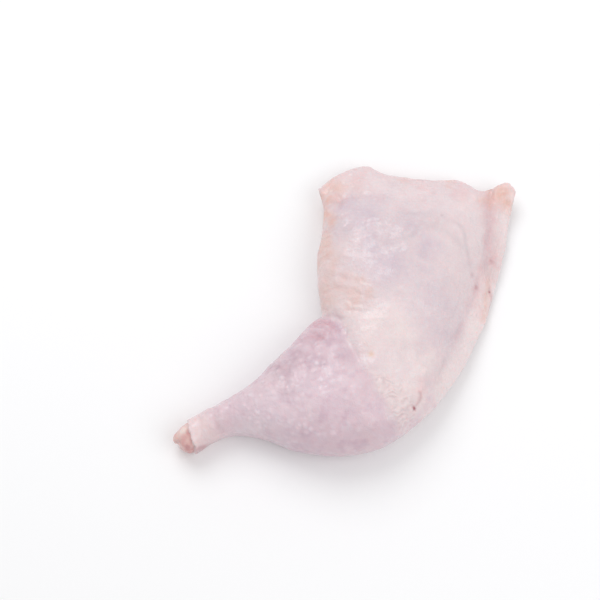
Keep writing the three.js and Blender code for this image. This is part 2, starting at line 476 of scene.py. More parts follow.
crepe_place = np.abs(beside(curve_through(CREPE_LINE))[0]) + border_noise * 1.6
crepe_zone = smooth(9.5, 4, crepe_place) * smooth(-1.0, 3.5, fold_side + border_noise) * upper
crepe_zone *= smooth(17, 23, Z + border_noise)
on_thigh = np.flatnonzero((thigh > 0.5) & (bare < 0.1) & (crepe_zone < 0.5))
on_crepe = np.flatnonzero(crepe_zone >= 0.5)
thigh_centres = scattered(on_thigh, THIGH_PITCH, 11)
crepe_centres = scattered(on_crepe, CREPE_PITCH, 12)
print("follicles on the thigh:", len(thigh_centres), "beside the knee:", len(crepe_centres))

# %% Shape the follicles and the rows
DRUM_WIDTH, THIGH_WIDTH, CREPE_WIDTH = 1.4, 0.75, 1.3


def dots(centres, width, seed):
    """A bump at each centre. Each has its own width and strength."""
    luck = np.random.default_rng(seed)
    widths = width * luck.uniform(0.65, 1.3, len(centres))
    strengths = luck.uniform(0.25, 1.0, len(centres))
    tree = tree_of(centres)
    found = [tree.find(p)[1:] for p in form.tolist()]
    index = np.array([f[0] for f in found])
    return strengths[index] * bell(np.array([f[1] for f in found]) / widths[index])


covered = (1 - bare) * (1 - joint)
drum_dots = dots(drum_centres, DRUM_WIDTH, 15) * (1 - thigh) * covered
thigh_dots = dots(thigh_centres, THIGH_WIDTH, 16) * thigh * covered
crepe_rows = (Y - 0.2 * X + soft_noise(8, 68) * 2.4 + soft_noise(3.2, 69) * 1.4) / CREPE_PITCH
row_strength = 0.35 * smooth(-0.5, 0.4, soft_noise(3.6, 70))
crepe_ridges = 0.5 * dots(crepe_centres, CREPE_WIDTH, 17) + 0.3
crepe_ridges = crepe_ridges + row_strength * np.cos(2 * math.pi * crepe_rows)
crepe_ridges = np.minimum(1, crepe_ridges) * crepe_zone * covered
print_shares(follicles=strongest(drum_dots, thigh_dots, crepe_ridges) > 0.3)

# %% Raise the follicles
DRUM_HEIGHT, THIGH_HEIGHT, CREPE_HEIGHT = 0.52, 0.15, 0.5

# They stand out in places, hardly show in others, and fade towards the hock.
prominent = bell(np.hypot(X + 24, Y + 38) / 17) + 0.7 * bell(np.hypot(X + 40, Y + 60) / 14)
dot_strength = 0.35 + 0.55 * prominent + 0.4 * soft_noise(11, 13) + 0.3 * soft_noise(4, 14)
dot_strength = np.clip(dot_strength, 0.06, 1.25)
follicles = drum_dots * dot_strength * smooth(12, 30, from_tip) * DRUM_HEIGHT
follicles += thigh_dots * dot_strength * THIGH_HEIGHT + crepe_ridges * CREPE_HEIGHT
print("follicles raised:", round(float(follicles.max()), 2), "mm at most")

# %% [markdown]
# ## The skin ends in an edge
#
# The skin is cut open on the thigh's inner side and in a ring above the hock. There the body steps down by
# more than the skin's thickness, and the layer that shows is laid in the recess as a piece of its own. All
# the reliefs add up to one height for each vertex, which moves along the smooth form's normal. The flat
# rest below keeps its place.

# %% Move the surface
RECESS = 2.6  # from the skin's surface to its bottom
MOST_RAISED = 1.0  # no relief stands higher than this

height = fold_relief + swells * (0.4 + 0.6 * upper) + dimples + crepe + lines + follicles
edge_roll = 0.35 * bell((in_window + 0.9) / 0.8) * under * smooth(2.2, 3.2, from_lip)
edge_roll += 0.45 * bell((from_cut - 1.0) / 0.8) * hock_end
height += edge_roll
rest = smooth(0.9, 0.2, Z) * smooth(0.9, 0.98, -facing_up)
height = np.where(height > 0, height * (1 - rest), height)
height = np.minimum(height, MOST_RAISED) * (1 - bare) * (1 - joint) - RECESS * strongest(bare, joint)
points = form + form_normals * height[:, None]
points[:, 2] = np.maximum(points[:, 2], 0)
write_points(leg.data, points)
print("relief, mm:", round(float(height.min()), 2), "to", round(float(height.max()), 2))

# %% [markdown]
# ## Where the colours lie
#
# Thin skin takes its colour from what is under it: muscle shows lilac, fat shows cream or peach, and blood
# shows red. These patches follow the anatomy, so noise alone can't place them. Painted shade and painted
# light are placed the same way: shade in the flank's channel and over the drumstick, light on its upward
# face. Each one is a few places on the plan with a radius. The plan is first warped by noise, which turns
# every round patch into a ragged one. Veins and threads of blood are thin lines on the plan, and clots are
# small round spots.

# %% Helpers for patches, threads and spots
warp_x = X + soft_noise(13, 31) * 4 + soft_noise(5, 32) * 1.6
warp_y = Y + soft_noise(13, 33) * 4 + soft_noise(5, 34) * 1.6
print("the warp moves places by up to", round(float(np.abs(warp_x - X).max()), 1), "mm")


def patch(*places):
    """A mask that is 1 at each (x, y, radius) and fades away from it."""
    values = np.zeros(len(X))
    for x, y, radius in places:
        values = np.maximum(values, bell(np.hypot(warp_x - x, warp_y - y) / radius))
    return values


def thread(strength, width, wander, places):
    """A thin line on the plan that wanders a little."""
    moved_x, moved_y = X + soft_noise(7, 35) * wander, Y + soft_noise(7, 36) * wander
    side, passed = beside(curve_through(places), moved_x, moved_y)
    return strength * bell(side / width) * smooth(0, 0.15, passed) * smooth(1, 0.85, passed)


def spot(strength, radius, x, y):
    return strength * bell(np.hypot(X - x, Y - y) / radius)


# %% Place the thigh's muscle, smudges with painted shade, and fat
lilac = upper * strongest(
    patch((-1, 54, 8), (10, 44, 14), (14, 30, 15), (22, 15, 13), (30, 38, 12), (38, 27, 8)),
    0.6 * patch((40, 0, 14), (50, -6, 10), (48, -20, 10), (38, 14, 8)),
)
# Darker smudges under the skin, with painted shade on the thigh's left side and where the lamp lights it
# most.
dusk = upper * strongest(
    patch((-8, 40, 5), (-3, 42, 5), (22, 44, 8), (30, 41, 7), (40, 41, 7), (18, 32, 7), (28, 28, 8)),
    patch((48, 40, 5), (30, -29, 5)),
    0.6 * patch((9, -5, 6), (1, 28, 5)),
)
peach = (0.4 + 0.6 * upper) * strongest(
    patch((-15, 31, 6), (-16, 22, 9), (-16, 8, 9), (-15, -3, 7), (-8, 14, 6), (-6, 4, 6), (-1, 1, 5)),
    patch((3, 8, 4), (9, 0, 3.5), (-1, -4, 5), (-10, 41, 5)),
)
peach = strongest(peach, 0.4 * upper * patch((1, 66, 6), (6, 60, 4)))
cream = upper * thigh * strongest(
    patch((12, -14, 9), (24, -22, 9), (33, -36, 7), (28, -46, 8), (36, -40, 6), (40, -33, 6)),
    0.6 * patch((0, -6, 8)),
)
fat = strongest(
    patch((-11, 66, 6), (-9, 57, 5), (-10, 49, 4), (79, 63, 5), (83, 65, 6), (86, 67, 6), (85, 60, 5)),
    patch((30, 73, 3.5), (56, 70, 3)),
    thread(0.6, 1.7, 0.4, [(75, 18), (74.4, 10), (73.6, 3.5), (72.4, -3), (70.5, -10)]),
    thread(1.0, 1.4, 0.8, [(77, 76), (76.8, 68), (76.8, 60), (77.5, 53)]),
)
print_shares(lilac=lilac, dusk=dusk, peach=peach, cream=cream, fat=fat)

# %% Place the rosy patches, the knee and the flank channel's painted shade
rosy = strongest(
    patch((76, 25, 3.5), (69, 18, 3.5), (73, 13, 3), (67, 7, 3), (73.5, 6, 3), (72.5, -2, 3)),
    patch((78, 58, 4), (40, 66, 7), (62, 64, 5), (4, 72, 6), (35, -48, 4)),
    0.8 * patch((76.5, 48, 3.5), (76.3, 40, 3.5), (75.5, 32, 3.5), (77, 56, 3)),
    0.9 * patch((69, 13, 5), (69, 7, 5.5), (68, 0, 5.5)),
    0.8 * bell(inside_hip / 5) * thigh,
    patch((-15, -13, 4.5), (-11, -15, 3.5), (-22, -19, 4), (-18, -22, 3.5)) * (1 - thigh),
)
knee = patch((31, -68, 6), (36, -64, 5), (42, -56, 4), (26, -72, 6), (20, -75, 6)) * thigh
# Painted shade in the channel between the thigh and the loose flank.
band_places = [(78.5, 70), (78, 60), (78, 50), (77.6, 40), (77.2, 30), (75, 20), (72, 12)]
band = upper * thread(1.0, 5, 0.4, band_places)
print_shares(rosy=rosy, knee=knee, band=band)

# %% Place the drumstick's painted shade and light, its mottles, shank and ankle
# Painted shade: a shadow over the drumstick's upper side, the tuck where it goes under the thigh's skin,
# and a faint one along its lower side.
shade = (1 - thigh) * strongest(
    patch((-34, -39, 7), (-28, -43, 6), (-23, -42, 6), (-27, -36, 7), (-20, -37, 6), (-10, -37, 5)),
    0.5 * patch((-24, -31, 8), (-19, -23, 7), (-14, -30, 6), (-37, -47, 5)),
    0.5 * patch((-6, -16, 4), (-4.5, -24, 4.5), (-2, -31, 5)),
    0.1 * patch((-14, -74, 8), (2, -73, 9), (18, -70, 9), (10, -62, 7)),
)
# Painted light: a pool of sky light on the drumstick's upward face.
pale = upper * (1 - thigh) * strongest(
    patch((-39, -58, 8), (-46, -62, 9), (-53, -66, 8), (-36, -67, 8)),
    0.5 * patch((-60, -65, 7), (-31, -60, 8), (-27, -51, 6), (-20, -53, 8), (-8, -46, 7), (0, -52, 6)),
    0.5 * patch((-22, -60, 7)),
)
mottle = smooth(0.1, 1.1, np.abs(soft_noise(4.6, 39)) + 0.35 * soft_noise(9, 40)) * (1 - thigh)
# The mottling is the skin's own, made strongest where painted shade falls: the drumstick's upper side, the
# tuck at the knee and its lower side.
mottle *= 0.35 + 0.65 * patch((-27, -36, 12), (-10, -16, 9), (-20, -72, 14), (6, -70, 12))
shank = smooth(46, 14, from_tip + soft_noise(9, 37) * 5)
ankle = smooth(40, 16, from_tip)
print_shares(shade=shade, pale=pale, mottle=mottle, shank=shank, ankle=ankle)

# %% Draw the veins
VEINS = [
    # strength, width, wander, places
    (0.42, 1.2, 0.2, [(53, 40.5), (55.5, 41.6), (58, 40.6), (60.6, 37), (61.3, 31.4), (62.4, 26.4),
                      (63.2, 21), (65.5, 15)]),
    (0.36, 1.5, 0.5, [(23, 47.8), (28.6, 46.4), (32.2, 45.6), (36, 45.4), (40, 44.6)]),
    (0.35, 1.3, 0.3, [(23, 32.5), (27.3, 29.9), (31.5, 30.5), (34.8, 33.5), (38, 37)]),
    (0.25, 2.0, 0.5, [(33, 36), (37, 36.6), (42, 37), (48.5, 36.2), (54, 33.5), (58, 30), (60, 26)]),
    (0.4, 1.5, 0.3, [(50, -28.5), (48.5, -34), (46.8, -37.3), (45.2, -41.6), (43.5, -46.5)]),
    (0.28, 2.2, 0.4, [(61, -10), (57.7, -18.8), (54.2, -23.5), (51.4, -29), (49.5, -33)]),
    (0.3, 0.45, 0.8, [(10, 28), (16, 24), (24, 23), (33, 27)]),
    (0.3, 0.45, 0.8, [(58, 6), (56, -4), (50, -14)]),
    (0.25, 0.5, 0.8, [(-20, -48), (-30, -52), (-44, -54)]),
]
vein = upper * strongest(*[thread(*line) for line in VEINS], spot(1.0, 0.75, 49.2, 45.1))
print_shares(vein=vein)

# %% Put blood under the skin
BLOOD_THREADS = [
    # strength, width, wander, places
    (0.32, 0.7, 0.2, [(32, -58), (33.2, -56), (34.3, -54.5), (35.2, -52.6), (35, -50.6), (34.4, -49)]),
    (0.3, 0.7, 0.8, [(76.5, 14), (76.5, 6), (75.5, 0), (74, -6)]),
    (0.45, 1.0, 0.2, [(-80, -78), (-76, -76), (-72, -74.2), (-68, -72.4)]),
]
BLOOD_SPOTS = [
    # strength, radius, x, y
    (1.2, 0.85, 31.9, -58.1),
    (0.9, 0.75, 75.8, 9.7),
    (0.4, 1.2, 68.0, 10.2),
    (0.25, 1.3, 64.8, 15.5),
    (0.35, 1.4, 76.8, 26.0),
    (0.4, 1.0, -86.5, -75.5),
]
blood = strongest(*[thread(*line) for line in BLOOD_THREADS], *[spot(*place) for place in BLOOD_SPOTS])
blood *= smooth(-0.6, 0, facing_up)
speck = strongest(spot(1.0, 1.5, 10.4, -32.5), spot(0.12, 4, 9, -27.5))  # a fleck of yellow fat
print_shares(blood=blood, speck=speck)

# %% [markdown]
# ## Masks that a material can read
#
# A material knows nothing of this script's arrays. Each mask is therefore stored on the mesh under a name,
# one number for every vertex, and the skin's material reads it by that name. Painted textures would need a
# flat layout of the skin. Numbers on the vertices don't, and here they are dense enough.

# %% Keep the masks on the mesh
follicle = strongest(drum_dots * np.clip(dot_strength, 0.2, 1), 0.35 * thigh_dots + 0.7 * crepe_ridges)
masks = dict(
    thigh=thigh, flank=flank, fold=fold_tint, follicle=follicle, crepe=crepe_zone - 0.8 * crepe_ridges,
    lilac=lilac, peach=peach, cream=cream, fat=fat, rosy=rosy, shank=shank, shade=shade, pale=pale,
    dusk=dusk, knee=knee, band=band, ankle=ankle, speck=speck, mottle=mottle, vein=vein, blood=blood,
)


def store(mesh, name, values):
    layer = mesh.attributes.new(name, "FLOAT", "POINT")
    layer.data.foreach_set("value", np.clip(values, 0, 1).astype(np.float32))


for name, values in masks.items():
    store(leg.data, name, values)
print("masks:", ", ".join(masks))

# %% [markdown]
# ## Bare meat in the window
#
# The meat lies just under the skin, so it is cut from the same fine mesh. The chosen faces are copied at
# the layer's own height, copied again deeper, and joined along the rim, which the skin's edge covers. The
# meat has four muscles that run from the hip to the knee and narrow on the way. Its fibres follow them,
# because their noise is stretched along the muscles.

# %% Helpers that cut a closed layer from the fine mesh
LOWEST = 0.15  # above the ground


def layer_under(name, chosen, layer_height, thickness, layer_masks):
    """A closed piece that follows the form at its own height, where chosen is above 0.5."""
    quads = np.array([tuple(q.vertices) for q in leg.data.polygons])
    quads = quads[(chosen[quads] > 0.5).all(axis=1)]
    used = np.unique(quads)
    slot = np.full(len(form), -1)
    slot[used] = np.arange(len(used))
    quads = slot[quads]
    outer = form[used] + form_normals[used] * layer_height[used, None]
    outer[:, 2] = np.maximum(outer[:, 2], LOWEST)
    inner = outer - form_normals[used] * thickness
    sides = np.concatenate([quads[:, [i, (i + 1) % 4]] for i in range(4)])
    keys = set(map(tuple, sides.tolist()))
    rim = [(b, a, a + len(used), b + len(used)) for a, b in keys if (b, a) not in keys]
    below = (quads + len(used))[:, ::-1]
    faces = quads.tolist() + below.tolist() + rim
    mesh = bpy.data.meshes.new(name)
    mesh.from_pydata((np.concatenate([outer, inner]) * MM).tolist(), [], faces)
    for key, values in layer_masks.items():
        store(mesh, key, np.tile(values[used], 2))
    mesh.shade_smooth()
    print(name, len(mesh.vertices), "vertices,", len(mesh.polygons), "faces")
    return add_object(name, mesh)


def grown(core, cells):
    """Spreads a mask outwards over the mesh, one cell at a time."""
    values = core.astype(float)[:, None]
    for _ in range(cells):
        near = neighbour_mean(values, edges)
        values = np.maximum(values, (near > 0.12).astype(float))
    return values[:, 0]


print_shares(bare_with_rim=grown(bare > 0.3, 3))

# %% Lay in the thigh's meat
MEAT_DEPTH = 1.35  # under the surface
MEAT_THICKNESS = 3.0
FIBRES_ACROSS = 13  # how many lie side by side in one muscle
SEAMS = [
    [(-12, 100), (-13, 60), (-11, 20), (2, -20), (10, -40)],
    [(14, 100), (9, 60), (8, 20), (13, -15), (15, -40)],
    [(34, 100), (30, 60), (24, 20), (21, -15), (19, -40)],
    [(58, 100), (50, 60), (41, 20), (32, -15), (24, -40)],
    [(84, 100), (78, 60), (66, 20), (50, -15), (32, -40)],
]
wander_x = X + soft_noise(22, 45) * 4 + soft_noise(8, 46) * 1.2
seam_sides = np.stack([beside(curve_through(places), wander_x, Y)[0] for places in SEAMS])
across_muscle = np.zeros(len(X))
for left, right in zip(seam_sides[:-1], seam_sides[1:]):
    across_muscle += np.clip(left / (left - right), 0, 1)
nearest_seam = np.abs(seam_sides).min(axis=0)
fibre_place = np.stack([across_muscle * FIBRES_ACROSS, Y / 16, Z / 30], axis=1)
fibres = 1 - 2 * np.abs(soft_noise(1.0, 9, points=fibre_place))
strands = 1 - 2 * np.abs(soft_noise(1.0, 10, points=fibre_place * (0.35, 0.7, 1)))
seam = bell((nearest_seam + soft_noise(6, 41) * 0.5) / 1.4)
seam *= np.clip(0.7 + 0.5 * soft_noise(18, 47), 0.15, 1)
meat_height = -MEAT_DEPTH + 0.45 * np.clip(nearest_seam / 7, 0, 1) - 0.7 * seam
meat_height += 0.14 * fibres + 0.22 * strands
membrane = smooth(0.25, 0.9, soft_noise(13, 42)) * 0.8 + 0.7 * seam
meat_masks = {"fibre": 0.5 + 0.5 * fibres, "seam": seam, "membrane": membrane}
meat = layer_under("thigh_meat", grown(bare > 0.3, 3), meat_height, MEAT_THICKNESS, meat_masks)

# %% [markdown]
# ## The joint at the hock
#
# Where the foot was cut off, the drumstick ends in the joint: two pale knuckles with a groove between them,
# and the stumps of the tendons round them. A modelled bone end would have to be fitted into the skin's
# ring. The layer that served for the meat already fits, so its height is given the knuckles instead.

# %% Lay in the hock's joint
JOINT_DEPTH = 0.7
JOINT_THICKNESS = 3.5
TENDONS = [(-0.5, 0.25), (0.75, 0.2)]  # turn round the drumstick's axis and width, in radians
groove = bell((drum_aside + 1.0) / 1.5) * smooth(7, 2, from_tip)
hollow = bell((from_tip - 8) / 2.2)
tendon = sum(bell((turn - angle) / width) * smooth(5, 8, from_tip) for angle, width in TENDONS)
joint_height = -JOINT_DEPTH - 1.0 * groove - 0.35 * hollow + 0.35 * tendon + 0.2 * soft_noise(4, 43)
joint_masks = {
    "groove": strongest(groove, 0.4 * hollow),
    "rim": bell((from_cut + 0.5) / 0.9),
    "blood": spot(1.0, 2.2, -82.5, -78.0),
    "tendon": tendon,
}
hock = layer_under("hock_joint", grown(joint > 0.3, 3), joint_height, JOINT_THICKNESS, joint_masks)

# %% [markdown]
# ## Thin the mesh where it is smooth
#
# The fine cells were needed for the folds and follicles, not for the broad stretches between them. A
# collapse keeps the detail and merges triangles where the surface hardly bends.

# %% Thin out the body
MOST_TRIANGLES = 190000

leg.data.shade_smooth()
thin = leg.modifiers.new("thin", "DECIMATE")
thin.ratio = MOST_TRIANGLES / (2 * len(leg.data.polygons))
thin.use_collapse_triangulate = True
depsgraph = bpy.context.evaluated_depsgraph_get()
thinned = bpy.data.meshes.new_from_object(leg.evaluated_get(depsgraph))
leg.modifiers.clear()
fine_mesh = leg.data
leg.data = thinned
bpy.data.meshes.remove(fine_mesh)
leg.data.name = "leg_skin"
masks_kept = sum(layer.name in masks for layer in leg.data.attributes)
print("body:", len(leg.data.polygons), "triangles, masks kept:", masks_kept, "of", len(masks))

# %% [markdown]
# ## Fat along the edge
#
# Fat lies between skin and meat and swells out where the skin was cut. It is soft and lumpy, so it is made
# of many small balls that sit along the edge, half sunk in, merged by a remesh and relaxed.

# %% Put fat along the skin's edge
FAT_CELL = 0.7
FAT_PASSES = 8
FAT_DEPTH = 1.35  # a ball's middle lies about this far under the surface
FAT_KEPT = 0.3  # share of the places along the edge that get a ball
FAT_LOWEST = 0.1
fat_rng = random.Random(21)
edge_band = np.flatnonzero((np.abs(in_window) < 1.2) & (under > 0.5) & (from_lip > 3.6) & (Y > -28))
fat_clumps = soft_noise(12, 44)
balls = bmesh.new()
pads = 0
for i in edge_band:
    if fat_clumps[i] < 0.05 or fat_rng.random() > FAT_KEPT:
        continue
    ball_size = fat_rng.uniform(0.9, 2.0)
    centre = form[i] - form_normals[i] * (FAT_DEPTH + ball_size * 0.25)
    made = bmesh.ops.create_icosphere(balls, subdivisions=2, radius=ball_size * MM)
    for v in made["verts"]:
        v.co = Vector(centre * MM) + v.co
    pads += 1
fat_rough = bpy.data.meshes.new("edge_fat_balls")
balls.to_mesh(fat_rough)
balls.free()
fat_rough_object = add_object("edge_fat_balls", fat_rough)
fat_piece = voxel_copy(fat_rough_object, "edge_fat", FAT_CELL)
bpy.data.objects.remove(fat_rough_object)
fat_points = relax(read_points(fat_piece.data), read_edges(fat_piece.data), FAT_PASSES)
fat_points[:, 2] = np.maximum(fat_points[:, 2], FAT_LOWEST)
write_points(fat_piece.data, fat_points)
fat_piece.data.shade_smooth()
print("fat:", pads, "balls,", len(fat_piece.data.polygons), "faces")

# %% [markdown]
# ## Blotches and grain
#
# All of the leg's materials are moist and uneven, so they share two groups of nodes. One gives soft
# blotches in three sizes. The other gives the fine grain that breaks up a highlight. They read the object's
# own coordinates, so neighbouring materials never show the same pattern shifted or stretched.

# %% Add and link nodes
class Maker:
    """Short ways to add and link nodes in one tree."""

    def __init__(self, tree):
        self.tree = tree

    def add(self, kind, **settings):
        node = self.tree.nodes.new(kind)
        for key, value in settings.items():
            setattr(node, key, value)
        return node

    def plug(self, source, socket):
        if hasattr(source, "is_output"):
            self.tree.links.new(source, socket)
        else:
            socket.default_value = source

    def math(self, operation, a, b=0.0, clamp=False):
        node = self.add("ShaderNodeMath", operation=operation, use_clamp=clamp)
        self.plug(a, node.inputs[0])
        self.plug(b, node.inputs[1])
        return node.outputs[0]

    def ramp(self, value, low, high, out_low=0.0, out_high=1.0):
        node = self.add("ShaderNodeMapRange", interpolation_type="SMOOTHSTEP")
        for socket, setting in zip(node.inputs, (value, low, high, out_low, out_high)):
            self.plug(setting, socket)
        return node.outputs[0]

    def mix(self, factor, a, b):
        node = self.add("ShaderNodeMix", data_type="RGBA")
        self.plug(factor, node.inputs[0])
        self.plug(a, node.inputs[6])
        self.plug(b, node.inputs[7])
        return node.outputs[2]

    def noise(self, place, scale, detail):
        node = self.add("ShaderNodeTexNoise")
        self.plug(place, node.inputs["Vector"])
        self.plug(scale, node.inputs["Scale"])
        node.inputs["Detail"].default_value = detail
        return node.outputs["Fac"]

    def mask(self, name):
        return self.add("ShaderNodeAttribute", attribute_name=name).outputs["Fac"]


print("short ways:", [name for name in vars(Maker) if "_" not in name])

# %% Build the shared groups
BLOTCHES = [(45, 3), (150, 3), (520, 2)]  # how many to a metre, and how many finer layers each has
PORES, FINE_GRAIN, WET_PATCHES = 1500, 2600, 210  # to a metre


def new_group(name, outputs):
    tree = bpy.data.node_groups.new(name, "ShaderNodeTree")
    tree.interface.new_socket("Size", in_out="INPUT", socket_type="NodeSocketFloat")
    for output in outputs:
        tree.interface.new_socket(output, in_out="OUTPUT", socket_type="NodeSocketFloat")
    maker = Maker(tree)
    size = maker.add("NodeGroupInput").outputs[0]
    result = maker.add("NodeGroupOutput")
    place = maker.add("ShaderNodeTexCoord").outputs["Object"]
    return maker, size, place, result


maker, size, place, result = new_group("blotches", ["Broad", "Middle", "Fine"])
for socket, (scale, detail) in zip(result.inputs, BLOTCHES):
    cells = maker.math("DIVIDE", scale, size)
    maker.plug(maker.ramp(maker.noise(place, cells, detail), 0.27, 0.75), socket)
blotches = maker.tree

maker, size, place, result = new_group("moist_grain", ["Grain", "Wet"])
pores = maker.add("ShaderNodeTexVoronoi", feature="SMOOTH_F1")
maker.plug(place, pores.inputs["Vector"])
maker.plug(maker.math("DIVIDE", PORES, size), pores.inputs["Scale"])
pore_depth = maker.math("MULTIPLY", pores.outputs["Distance"], 0.7)
fine_grain = maker.noise(place, maker.math("DIVIDE", FINE_GRAIN, size), 3)
fine_depth = maker.math("MULTIPLY", fine_grain, 0.4)
maker.plug(maker.math("ADD", pore_depth, fine_depth), result.inputs["Grain"])
wet = maker.noise(place, maker.math("DIVIDE", WET_PATCHES, size), 3)
maker.plug(maker.ramp(wet, 0.42, 0.62), result.inputs["Wet"])
moist_grain = maker.tree
print("shared groups:", blotches.name, moist_grain.name)

# %% [markdown]
# ## Moist tissue
#
# Skin, meat, cartilage and fat are all soft tissue with water on it. Light goes in and comes out a little
# further on, red light furthest, which softens every edge, so the shader scatters it below the surface. The
# water gives a second, sharper highlight, and that is the coat. One helper sets these for all four
# materials. A stain is a colour laid over another where a mask says so, and blotches break it up.

# %% Helpers for materials
def new_material(name):
    material = bpy.data.materials.new(name)
    material.use_nodes = True
    maker = Maker(material.node_tree)
    material.node_tree.nodes.clear()
    output = maker.add("ShaderNodeOutputMaterial")
    shader = maker.add("ShaderNodeBsdfPrincipled")
    maker.plug(shader.outputs["BSDF"], output.inputs["Surface"])
    return material, maker, shader


def use_group(maker, group, size):
    node = maker.add("ShaderNodeGroup", node_tree=group)
    node.inputs["Size"].default_value = size
    return node.outputs


def srgb(red, green, blue):
    """A colour given as it would be read from a screen."""
    shares = [value / 255 for value in (red, green, blue)]
    linear = [s / 12.92 if s < 0.0404 else ((s + 0.055) / 1.055) ** 2.4 for s in shares]
    return (*linear, 1.0)


print("a screen's middle grey:", round(srgb(128, 128, 128)[0], 3))

# %% Helpers for moist tissue
COAT_ROUGHNESS = 0.16
SPECULAR = 0.35
SCATTER_COLOURS = (1.0, 0.45, 0.4)  # red, green and blue, as shares of the scale
SCATTER_SCALE = 2.2
BUMP_STRENGTH = 0.4


def stain(m, colour, under, mask, strength, breakup=None):
    """Lays a colour over another where a mask says so, broken up by blotches."""
    amount = m.math("MULTIPLY", m.mask(mask) if isinstance(mask, str) else mask, strength, clamp=True)
    if breakup is not None:
        amount = m.math("MULTIPLY", amount, m.ramp(breakup, 0.0, 1.0, 0.55, 1.0))
    return m.mix(amount, under, colour)


def stained(m, colour, stains):
    """Lays one stain after another over a colour."""
    for tint, *how in stains:
        colour = stain(m, srgb(*tint), colour, *how)
    return colour


def moist(m, shader, scatter, coat, rough, bump_height, bump_depth):
    """The settings that all of the leg's tissues share."""
    wet = use_group(m, moist_grain, 1.0)["Wet"]
    m.plug(m.ramp(wet, 0, 1, rough + 0.1, rough - 0.06), shader.inputs["Roughness"])
    m.plug(m.ramp(wet, 0, 1, coat * 0.3, coat), shader.inputs["Coat Weight"])
    shader.inputs["Coat Roughness"].default_value = COAT_ROUGHNESS
    shader.inputs["Specular IOR Level"].default_value = SPECULAR
    shader.inputs["Subsurface Weight"].default_value = scatter
    shader.inputs["Subsurface Radius"].default_value = SCATTER_COLOURS
    shader.inputs["Subsurface Scale"].default_value = SCATTER_SCALE * MM
    bump = m.add("ShaderNodeBump")
    bump.inputs["Strength"].default_value = BUMP_STRENGTH
    bump.inputs["Distance"].default_value = bump_depth * MM
    m.plug(bump_height, bump.inputs["Height"])
    m.plug(bump.outputs["Normal"], shader.inputs["Normal"])


print("red, green and blue travel, mm:", [round(SCATTER_SCALE * part, 2) for part in SCATTER_COLOURS])

# %% [markdown]
# ## Skin
#
# The thigh's and the drumstick's colours are mixed apart and then joined, because the drumstick's thinner
# skin lets far more of the dark meat through. Each starts from a base in two tones. The stains follow from
# the deepest layer, muscle, over fat and blood to the follicles on top. Painted shade in folds, hollows and
# over the drumstick, and painted light on its upward face and on the follicles' tops, are laid in among
# them. A painted picture would be quicker to make, but here each stain can be moved on its own.

# %% Mix the thigh's colour
skin_material, m, shader = new_material("chicken_skin")
tissue = use_group(m, blotches, 1.0)
broad, middle, fine = tissue["Broad"], tissue["Middle"], tissue["Fine"]

THIGH_STAINS = [
    # colour, mask, strength, blotches that break it up
    ((199, 182, 194), "lilac", 0.75),
    # darker smudges and painted shade
    ((202, 184, 188), "dusk", 0.5, broad),
    ((231, 215, 214), "cream", 0.8, middle),
    ((222, 184, 174), "peach", 0.9, broad),
    ((240, 224, 223), "flank", 0.7, broad),
    # painted shade in the flank's channel
    ((208, 180, 181), "band", 0.6, broad),
    ((222, 180, 182), "rosy", 0.55, middle),
    ((221, 175, 160), "fat", 0.95, middle),
]
thigh_colour = m.mix(broad, srgb(227, 210, 212), srgb(219, 201, 205))
thigh_colour = stained(m, thigh_colour, THIGH_STAINS)
thigh_colour = m.mix(m.math("MULTIPLY", middle, 0.2), thigh_colour, srgb(238, 224, 225))
print("stains on the thigh:", len(THIGH_STAINS))

# %% Mix the drumstick's colour
DRUM_STAINS = [
    ((200, 171, 186), m.ramp(middle, 0.45, 1.0), 0.5),
    # painted shade on the drumstick
    ((180, 150, 164), "shade", 0.7, middle),
    # painted light on the drumstick's upward face
    ((231, 214, 221), "pale", 0.75, broad),
    # mottling, strongest where painted shade falls
    ((188, 152, 168), "mottle", 0.22),
    ((224, 200, 200), "shank", 0.85, broad),
    ((238, 218, 216), "ankle", 0.6, broad),
    ((205, 158, 166), "rosy", 0.55, middle),
    # paler follicles: partly their own colour, partly a painted highlight on their tops
    ((231, 217, 224), "follicle", 0.85, middle),
]
drum_colour = m.mix(broad, srgb(216, 193, 203), srgb(219, 196, 203))
drum_colour = stained(m, drum_colour, DRUM_STAINS)
print("stains on the drumstick:", len(DRUM_STAINS))

# %% Join them and finish the skin
# Paler tops of the thigh's follicles and the crepe's ridges: partly their own colour, partly a painted
# highlight.
bumps = m.math("MULTIPLY", m.mask("follicle"), m.mask("thigh"))
SKIN_STAINS = [
    # The crepe's skin is darker, most of all in the hollows between its ridges, where it is painted shade.
    ((207, 180, 182), "crepe", 0.5, middle),
    ((212, 186, 198), "knee", 0.75, middle),
    ((222, 184, 150), "speck", 0.55),
    # paler bump tops: partly their own colour, partly a painted highlight
    ((240, 226, 224), bumps, 0.6),
    # painted shade in the folds' valleys
    ((200, 160, 170), "fold", 0.42),
    ((172, 158, 166), "vein", 0.6, middle),
    ((158, 62, 76), "blood", 0.9),
]
skin_colour = m.mix(m.mask("thigh"), drum_colour, thigh_colour)
skin_colour = stained(m, skin_colour, SKIN_STAINS)
m.plug(skin_colour, shader.inputs["Base Color"])
grain = use_group(m, moist_grain, 1.0)["Grain"]
skin_bumps = m.math("ADD", grain, m.math("MULTIPLY", fine, 0.6))
moist(m, shader, scatter=0.3, coat=0.6, rough=0.44, bump_height=skin_bumps, bump_depth=0.4)
leg.data.materials.clear()
leg.data.materials.append(skin_material)
print("skin:", len(skin_material.node_tree.nodes), "nodes")

# %% [markdown]
# ## Meat, cartilage and fat
#
# Raw dark meat is a dull pink with darker fibres and a whitish membrane that is thickest in the seams
# between muscles. Cartilage is almost white, stained by blood in its groove and along the skin's edge. Fat
# is a warm cream. They are made like the skin, with fewer stains, so the pieces look grown together.

